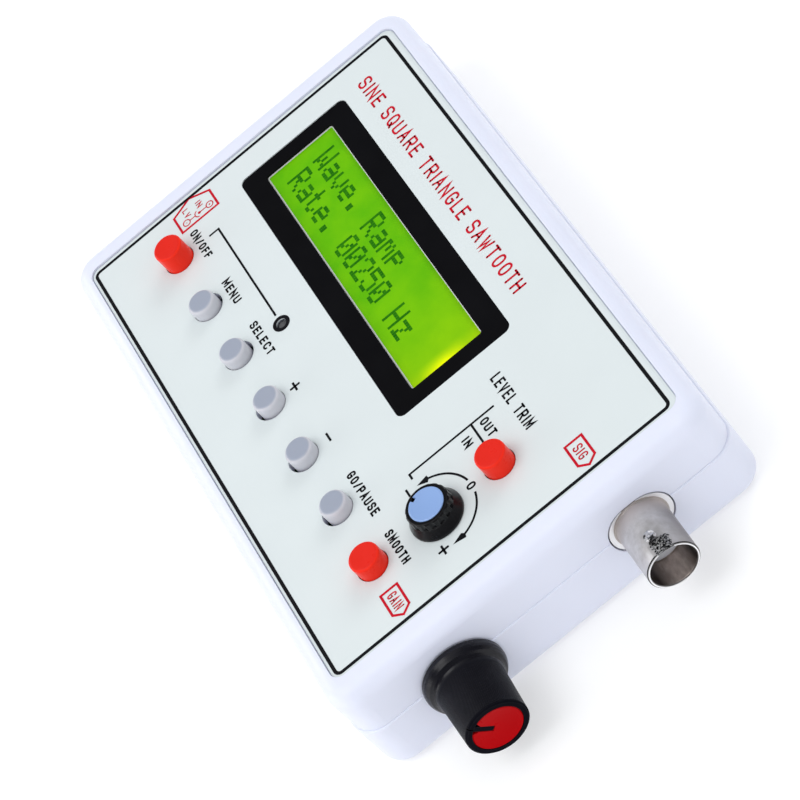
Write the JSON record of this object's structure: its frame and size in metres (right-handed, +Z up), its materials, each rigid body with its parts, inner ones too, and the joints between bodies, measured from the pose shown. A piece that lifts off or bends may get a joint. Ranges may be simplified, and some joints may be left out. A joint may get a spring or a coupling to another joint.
{
  "type": "function generator",
  "caption": "Hand-held bench function generator: flat two-part casing with a backlit text display, a row of push buttons, two rotary controls, a bayonet output socket and a power jack.",
  "frame": {"origin": "centre of the casing's flat underside", "axes": "+Z up out of the panel, +X towards the end wall with the output socket and amplitude knob, +Y towards the title edge of the panel"},
  "size_m": [0.1389, 0.0776, 0.026],
  "materials": {
    "casing": "fine satin moulded ABS",
    "panel": "printed polycarbonate film, satin",
    "bezel": "black satin paint on pressed steel",
    "display_green": "backlit yellow-green liquid-crystal glass",
    "backlight": "diffusing acrylic block",
    "board_green": "glass-epoxy board with green solder mask",
    "chip_black": "black epoxy moulding",
    "black_plastic": "black moulded plastic",
    "steel": "zinc-plated steel",
    "aluminium_can": "drawn aluminium cans",
    "ceramic": "fired ceramic chip bodies",
    "brass": "brass and gold-flashed contacts",
    "nickel": "satin nickel plate on brass",
    "pale_plastic": "natural white moulded plastic",
    "white_stem": "white acetal plungers",
    "red_button": "satin red moulded caps",
    "grey_button": "satin grey moulded caps",
    "blue_cap": "light blue pressed-in cap",
    "red_insert": "deep red pressed-in disc",
    "led_lens": "clear epoxy lens"
  },
  "bodies": {
    "casing": {"amplitude_pot_body": "black_plastic", "amplitude_pot_bushing": "steel", "board_screws": "steel", "bottom_shell": "casing", "case_screws": "steel", "chip_capacitors": "ceramic", "converter_resistors": "chip_black", "crystal": "steel", "display_backlight": "backlight", "display_bezel": "bezel", "display_circuit_board": "board_green", "display_connector": "black_plastic", "display_connector_pins": "brass", "display_driver_chips": "chip_black", "display_glass": "display_green", "display_screws": "steel", "display_spacers": "brass", "electrolytic_capacitors": "aluminium_can", "filter_inductor": "chip_black", "latching_switch_bodies": "black_plastic", "main_circuit_board": "board_green", "microcontroller": "chip_black", "negative_supply_chip": "chip_black", "offset_pot_body": "black_plastic", "output_amplifier": "chip_black", "output_socket_contact": "brass", "output_socket_housing": "pale_plastic", "output_socket_insulator": "pale_plastic", "output_socket_shell": "nickel", "panel_overlay": "panel", "power_led": "led_lens", "power_socket_body": "black_plastic", "power_socket_pin": "steel", "power_socket_spring": "steel", "tactile_switch_bodies": "black_plastic", "tactile_switch_covers": "steel", "top_shell": "casing", "voltage_regulator": "chip_black"},
    "offset_dial": {"offset_knob": "black_plastic", "offset_knob_cap": "blue_cap", "offset_pot_shaft": "steel"},
    "amplitude_dial": {"amplitude_knob": "black_plastic", "amplitude_knob_insert": "red_insert", "amplitude_pot_shaft": "steel"},
    "mode_button": {"mode_button_cap": "grey_button", "mode_switch_stem": "black_plastic"},
    "cursor_button": {"cursor_button_cap": "grey_button", "cursor_switch_stem": "black_plastic"},
    "increase_button": {"increase_button_cap": "grey_button", "increase_switch_stem": "black_plastic"},
    "decrease_button": {"decrease_button_cap": "grey_button", "decrease_switch_stem": "black_plastic"},
    "run_stop_button": {"run_stop_button_cap": "grey_button", "run_stop_switch_stem": "black_plastic"},
    "power_button": {"power_button_cap": "red_button", "power_switch_stem": "white_stem"},
    "filter_button": {"filter_button_cap": "red_button", "filter_switch_stem": "white_stem"},
    "offset_button": {"offset_button_cap": "red_button", "offset_switch_stem": "white_stem"}
  },
  "joints": [
    {"name": "mode_press", "type": "slide", "parent": "casing", "child": "mode_button", "axis": [0, 0, -1], "range_m": [0, 0.00025], "stiffness_N_per_m": 60, "springref_m": -0.002},
    {"name": "cursor_press", "type": "slide", "parent": "casing", "child": "cursor_button", "axis": [0, 0, -1], "range_m": [0, 0.00025], "stiffness_N_per_m": 60, "springref_m": -0.002},
    {"name": "increase_press", "type": "slide", "parent": "casing", "child": "increase_button", "axis": [0, 0, -1], "range_m": [0, 0.00025], "stiffness_N_per_m": 60, "springref_m": -0.002},
    {"name": "decrease_press", "type": "slide", "parent": "casing", "child": "decrease_button", "axis": [0, 0, -1], "range_m": [0, 0.00025], "stiffness_N_per_m": 60, "springref_m": -0.002},
    {"name": "run_stop_press", "type": "slide", "parent": "casing", "child": "run_stop_button", "axis": [0, 0, -1], "range_m": [0, 0.00025], "stiffness_N_per_m": 60, "springref_m": -0.002},
    {"name": "power_press", "type": "slide", "parent": "casing", "child": "power_button", "axis": [0, 0, -1], "range_m": [0, 0.002]},
    {"name": "filter_press", "type": "slide", "parent": "casing", "child": "filter_button", "axis": [0, 0, -1], "range_m": [-0.0009, 0.0011]},
    {"name": "offset_press", "type": "slide", "parent": "casing", "child": "offset_button", "axis": [0, 0, -1], "range_m": [-0.0005, 0.0015]},
    {"name": "offset_turn", "type": "hinge", "parent": "casing", "child": "offset_dial", "pos_m": [0.04335, -0.00685, 0.0235], "axis": [0, 0, 1], "range_deg": [-260, 20]},
    {"name": "amplitude_turn", "type": "hinge", "parent": "casing", "child": "amplitude_dial", "pos_m": [0.0695, -0.01925, 0.00965], "axis": [1, 0, 0], "range_deg": [-180, 100]}
  ]
}
